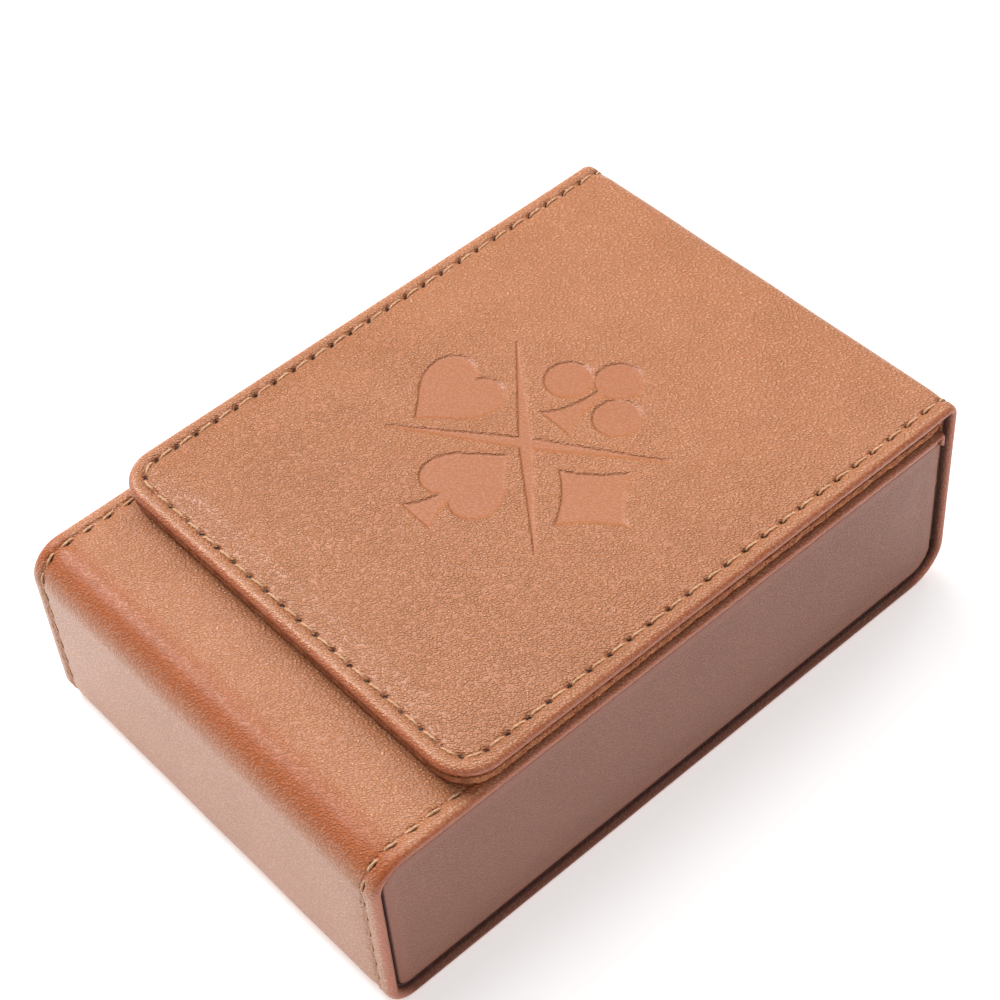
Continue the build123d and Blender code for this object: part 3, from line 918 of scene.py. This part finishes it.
def leather_material(name, light, deep, burnish_and_shade, grain, bumps, gloss, dull):
    """Pebbled leather, flattened where it is pressed or turned over an edge, and shiny on its crests.

    grain is cells per millimetre, bumps their height in metres, gloss the crests' roughness, and dull the
    shine of the hollows between them."""
    n = Nodes(name)
    rest = n.attribute("rest", "Vector")
    hole = n.attribute("hole")
    pressed = n.attribute("pressed")
    edge = n.attribute("edge")
    painted_shade = n.attribute("painted_shade")
    run = n.add("ShaderNodeSeparateXYZ", {"Vector": rest}).outputs[1]
    off_bend = n.math("ABSOLUTE", n.math("SUBTRACT", run, S_FRONT_BEND + 0.5 * TOP_BEND))

    # Grain: round cells pulled a little long, with lumps under them and pores in them.
    wobble = n.noise(rest, 0.9 * grain, 2.0).outputs["Color"]
    quarter = (0.25, 0.25, 0.25)
    warped = n.add("ShaderNodeVectorMath", {0: wobble, 1: quarter}, operation="MULTIPLY").outputs[0]
    spot = n.add("ShaderNodeVectorMath", {0: rest, 1: warped}, operation="ADD").outputs[0]
    along = n.stretched(spot, (0.66, 1.0, 1.0), GRAIN_TURN)
    cell = n.cells(along, grain, 0.12)
    pebbles = n.ramp(n.math("MULTIPLY", cell, cell), 0.0, 0.4, 1.0, 0.0)
    lumps = n.noise(along, 0.8 * grain, 1.0).outputs["Fac"]
    pores = n.noise(rest, 4.0 * grain, 1.0).outputs["Fac"]
    height = n.math("ADD", n.math("MULTIPLY", lumps, 0.3), pebbles)
    height = n.math("ADD", height, n.math("MULTIPLY", pores, 0.10))

    # It is flatter where it is pressed, on the edges, in patches and towards the flap's rear.
    patches = n.ramp(n.noise(rest, 0.12).outputs["Fac"], 0.35, 0.65, 0.9, 1.1)
    patches = n.math("MULTIPLY", patches, n.ramp(run, S_FLAP + 15, S_CORNER - 15, 0.7, 1.0))
    unpressed = n.ramp(pressed, 0.0, 1.0, 1.0, 0.15)
    flatten = n.math("MULTIPLY", unpressed, n.ramp(edge, 0.2, 0.8, 1.0, 0.4))
    height = n.math("MULTIPLY", height, n.math("MULTIPLY", flatten, patches))

    # Colour: crests lighter and hollows darker as painted highlight and painted shade on the grain, a painted
    # shade band across the front bend, an edge colour that is partly burnish and partly painted shade, and
    # painted shade in the stitch holes, under the flap, along the floor and in the gaps.
    mottle = n.noise(rest, 0.045, 4.0, 0.6).outputs["Fac"]
    # Painted highlight and painted shade: the grain's crests are coloured lighter and its hollows darker.
    relief = n.math("MULTIPLY", n.ramp(pebbles, 0.1, 0.85, -0.22, 0.14), unpressed)
    shade = n.math("ADD", n.ramp(mottle, 0.3, 0.7, 0.55, 0.61), relief)
    shade = n.math("SUBTRACT", shade, n.math("MULTIPLY", pressed, 0.3))
    color = n.mix(shade, deep, light)
    # Painted shade: a deeper orange band across the front bend, where the leather reflects little light.
    color = n.mix(n.ramp(off_bend, 1.0, 4.5, 0.65, 0.0), color, burnish_and_shade)
    # The edges' colour: partly the burnished edge, partly painted shade under the turned edges and on the
    # panels' rims.
    color = n.mix(n.ramp(edge, 0.8, 1.0, 0.0, 0.85), color, burnish_and_shade)
    # Painted shade in the stitch holes.
    color = n.mix(n.ramp(hole, 0.25, 0.75), color, rgb(58, 24, 10))
    # Painted shade from the mask: under the flap, along the floor, under the turned edges and in the panels'
    # gaps.
    color = n.mix(n.ramp(painted_shade, 0.0, 1.0, 0.0, 0.92), color, rgb(58, 22, 8))

    # Roughness and shine.
    rough = n.ramp(pebbles, 0.2, 0.9, gloss + 0.25 * (1 - dull), gloss)
    rough = n.math("ADD", rough, n.ramp(mottle, 0.3, 0.7, 0.01, -0.01))
    rough = n.math("ADD", rough, n.math("MULTIPLY", pressed, 0.1))
    rough = n.math("ADD", rough, n.math("MULTIPLY", n.math("MAXIMUM", hole, painted_shade), 0.4))
    shine = n.math("MAXIMUM", n.ramp(pebbles, 0.1, 0.8, dull, 1.0), n.ramp(edge, 0.5, 1.0, 0.0, 0.7))
    shine = n.math("MULTIPLY", shine, n.ramp(pressed, 0.0, 1.0, 1.0, 0.6))
    # The front bend also shines less, to go with its painted shade band.
    shine = n.math("MULTIPLY", shine, n.ramp(off_bend, 1.0, 4.5, 0.5, 1.0))
    n.put(n.shader.inputs["Specular IOR Level"], shine)
    coat = 0.5 * (1 - dull)
    return n.surface(color, rough, height, bumps, IOR=1.5, Coat_Weight=coat, Coat_Roughness=0.3)


def suede_material(name, light, deep, scale):
    n = Nodes(name)
    rest = n.attribute("rest", "Vector")
    nap = n.noise(n.stretched(rest, (1.0, 1.0, 2.0)), 3.0 * scale, 4.0, 0.7).outputs["Fac"]
    clumps = n.noise(rest, 0.7 * scale, 3.0, 0.6).outputs["Fac"]
    fibres = n.noise(n.stretched(rest, (2.0, 0.7, 5.0)), 3.0 * scale, 3.0, 0.7).outputs["Fac"]
    shade = n.math("ADD", n.ramp(nap, 0.38, 0.62, 0.0, 0.65), n.ramp(clumps, 0.35, 0.65, 0.0, 0.35))
    color = n.mix(shade, deep, light)
    height = n.math("ADD", nap, n.math("MULTIPLY", fibres, 0.8))
    rough = n.ramp(nap, 0.3, 0.7, 0.98, 0.82)
    return n.surface(color, rough, height, 0.0003, Specular_IOR_Level=0.2)


def thread_material():
    n = Nodes("waxed_thread")
    place = n.add("ShaderNodeTexCoord").outputs["Object"]
    plies = n.noise(place, 4200.0, 3.0, 0.6).outputs["Fac"]
    drift = n.noise(place, 260.0, 2.0).outputs["Fac"]
    color = n.mix(n.ramp(plies, 0.3, 0.7), rgb(190, 138, 98), rgb(232, 192, 156))
    color = n.mix(n.ramp(drift, 0.35, 0.65, 0.0, 0.3), color, rgb(180, 128, 92))
    rough = n.ramp(plies, 0.3, 0.7, 0.72, 0.55)
    return n.surface(color, rough, plies, 0.00006, Specular_IOR_Level=0.4)


def board_material():
    n = Nodes("grey_board")
    place = n.add("ShaderNodeTexCoord").outputs["Object"]
    fibre = n.noise(n.stretched(place, (900.0, 900.0, 4000.0)), 1.0, 4.0, 0.7).outputs["Fac"]
    flecks = n.ramp(n.noise(place, 1500.0, 2.0).outputs["Fac"], 0.55, 0.7)
    color = n.mix(fibre, rgb(96, 78, 62), rgb(150, 128, 106))
    color = n.mix(n.math("MULTIPLY", flecks, 0.4), color, rgb(70, 54, 42))
    return n.surface(color, n.ramp(fibre, 0.3, 0.7, 0.95, 0.85), fibre, 0.00005)


def steel_material():
    n = Nodes("nickel_steel")
    place = n.add("ShaderNodeTexCoord").outputs["Object"]
    brushed = n.noise(n.stretched(place, (300.0, 9000.0, 300.0)), 1.0, 3.0).outputs["Fac"]
    color = n.mix(brushed, rgb(170, 170, 172), rgb(205, 205, 206))
    return n.surface(color, n.ramp(brushed, 0.3, 0.7, 0.32, 0.22), brushed, 0.00001, Metallic=1.0)


tan = leather_material(
    "tan_leather", rgb(228, 154, 103), rgb(150, 81, 44), rgb(178, 84, 34), 3.3, 0.00023, 0.28, 0.6
)
side_tan = leather_material(
    "side_leather", rgb(160, 92, 58), rgb(122, 62, 36), rgb(144, 70, 34), 3.6, 0.00013, 0.46, 0.88
)
raw_suede = suede_material("raw_suede", rgb(250, 168, 118), rgb(140, 60, 34), 1.0)
soft_lining = suede_material("lining_suede", rgb(172, 122, 82), rgb(126, 82, 50), 1.3)
waxed = thread_material()
grey_board = board_material()
nickel = steel_material()


def dress(obj, material, body, replaced=()):
    obj.data.materials.clear()
    obj.data.materials.append(material)
    if replaced:
        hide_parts(*replaced)
    if isinstance(body, str):
        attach(obj, body)
    else:
        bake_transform(obj)


def point(y, z):
    return (0.0, y * MM, z * MM)


lower_bend = ("case_body", "spine", point(REAR_Y - LOWER_FOLD, 0), point(REAR_Y, LOWER_FOLD))
upper_start = point(REAR_Y, CLOSED_HEIGHT - UPPER_FOLD)
upper_bend = ("spine", "flap", upper_start, point(REAR_Y - UPPER_FOLD, CLOSED_HEIGHT))

dress(body_leather, tan, "case_body", ["body_cover"])
dress(spine_leather, tan, lower_bend, ["spine_cover"])
dress(flap_leather, tan, upper_bend, ["flap_cover"])
dress(left_thread, waxed, "case_body", ["left_body_stitching"])
dress(right_thread, waxed, "case_body", ["right_body_stitching"])
dress(spine_thread, waxed, lower_bend, ["spine_stitching"])
dress(flap_thread, waxed, upper_bend, ["flap_stitching"])
dress(left_panel, side_tan, "case_body", ["left_side_cover"])
dress(right_panel, side_tan, "case_body", ["right_side_cover"])
dress(flap_suede, raw_suede, upper_bend, ["flap_lining"])
dress(spine_lining, soft_lining, lower_bend, ["spine_lining"])
dress(well_lining, soft_lining, "case_body", ["well_lining"])


for name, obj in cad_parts.items():
    if obj.hide_render:
        continue
    if "board" in name:
        material = grey_board
    elif "lining" in name:
        material = soft_lining
        rest = obj.data.attributes.new("rest", "FLOAT_VECTOR", "POINT")
        rest.data.foreach_set("vector", np.array([v.co / MM for v in obj.data.vertices], np.float32).ravel())
    else:
        material = nickel
    obj.data.materials.clear()
    obj.data.materials.append(material)


# ---------------------------------------------------------------- floor, camera and light
def stage_floor():
    bpy.ops.mesh.primitive_plane_add(size=6.0, location=(0, 0, 0))
    floor = bpy.context.object
    floor.name = "floor"
    n = Nodes("floor_white")
    place = n.add("ShaderNodeTexCoord").outputs["Object"]
    faint = n.noise(place, 6.0, 2.0).outputs["Fac"]
    color = n.mix(faint, (0.86, 0.86, 0.86, 1), (0.9, 0.9, 0.9, 1))
    n.surface(color, 0.7, faint, 0.0, Specular_IOR_Level=0.2)
    n.shader.inputs["Emission Color"].default_value = (1, 1, 1, 1)
    n.shader.inputs["Emission Strength"].default_value = 0.45
    floor.data.materials.append(n.material)


stage_floor()

camera_data = bpy.data.cameras.new("camera")
camera_data.sensor_width = 36.0
camera_data.lens = 86.17
camera_data.clip_start = 0.01
camera_data.clip_end = 20.0
camera = bpy.data.objects.new("camera", camera_data)
bpy.context.scene.collection.objects.link(camera)
right = Vector((0.66779, 0.74172, -0.06249))
up = Vector((-0.52712, 0.53051, 0.66386))
back = Vector((0.52555, -0.41038, 0.74524))
turn = Matrix((right, up, back)).transposed().to_4x4()
camera.matrix_world = Matrix.Translation(Vector((170.44, -132.36, 268.70)) * MM) @ turn
bpy.context.scene.camera = camera


def area_light(name, place, size, power):
    """A rectangular lamp at a place in metres, aimed at the case."""
    light = bpy.data.lights.new(name, "AREA")
    light.shape = "RECTANGLE"
    light.size, light.size_y = size
    light.energy = power
    obj = bpy.data.objects.new(name, light)
    bpy.context.scene.collection.objects.link(obj)
    obj.location = place
    obj.rotation_mode = "QUATERNION"
    obj.rotation_quaternion = (Vector((0, 0, 0.02)) - Vector(place)).to_track_quat("-Z", "Y")


area_light("softbox", (-0.38, 0.1, 0.92), (0.7, 0.7), 5.4)
area_light("key", (-0.66, -0.17, 0.73), (0.42, 0.42), 6.4)
area_light("back", (-0.02, 0.64, 0.76), (0.6, 0.45), 2.4)
area_light("fill", (0.66, -0.12, 0.74), (0.4, 1.0), 1.7)

world = bpy.data.worlds.new("world")
bpy.context.scene.world = world
world.use_nodes = True
sky = world.node_tree.nodes["Background"]
sky.inputs["Color"].default_value = (1, 1, 1, 1)
sky.inputs["Strength"].default_value = 0.15
bpy.context.scene.view_settings.view_transform = "Standard"
